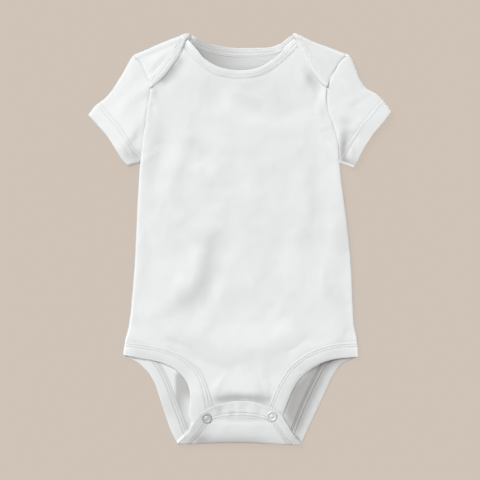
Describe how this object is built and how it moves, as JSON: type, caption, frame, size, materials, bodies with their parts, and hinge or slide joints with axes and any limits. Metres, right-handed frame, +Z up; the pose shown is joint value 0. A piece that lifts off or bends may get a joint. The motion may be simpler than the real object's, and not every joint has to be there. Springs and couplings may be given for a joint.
{
  "type": "baby onesie",
  "caption": "Short-sleeved white cotton baby bodysuit with lap shoulders and a snap crotch flap, laid flat face up.",
  "frame": {"origin": "centre of the bounding box's underside, on the surface the garment lies on", "axes": "+X to the viewer's right across the chest, +Y from the crotch to the neck, +Z up out of the surface, so the front faces up"},
  "size_m": [0.304, 0.4112, 0.0088],
  "materials": {
    "cotton_jersey": "matt white cotton jersey",
    "rib_band": "matt white cotton rib with twin-needle stitching",
    "snap_metal": "satin nickel-plated press snaps"
  },
  "bodies": {
    "root": {"back_panel": "cotton_jersey", "front_panel": "cotton_jersey", "sleeve_left": "cotton_jersey", "sleeve_right": "cotton_jersey", "neck_binding_back": "rib_band", "neck_binding_front": "rib_band", "leg_binding_back": "rib_band", "leg_binding_front": "rib_band", "snap_left_cap": "snap_metal", "snap_left_socket": "snap_metal", "snap_left_stud": "snap_metal", "snap_left_back_ring": "snap_metal", "snap_right_cap": "snap_metal", "snap_right_socket": "snap_metal", "snap_right_stud": "snap_metal", "snap_right_back_ring": "snap_metal"}
  },
  "joints": []
}
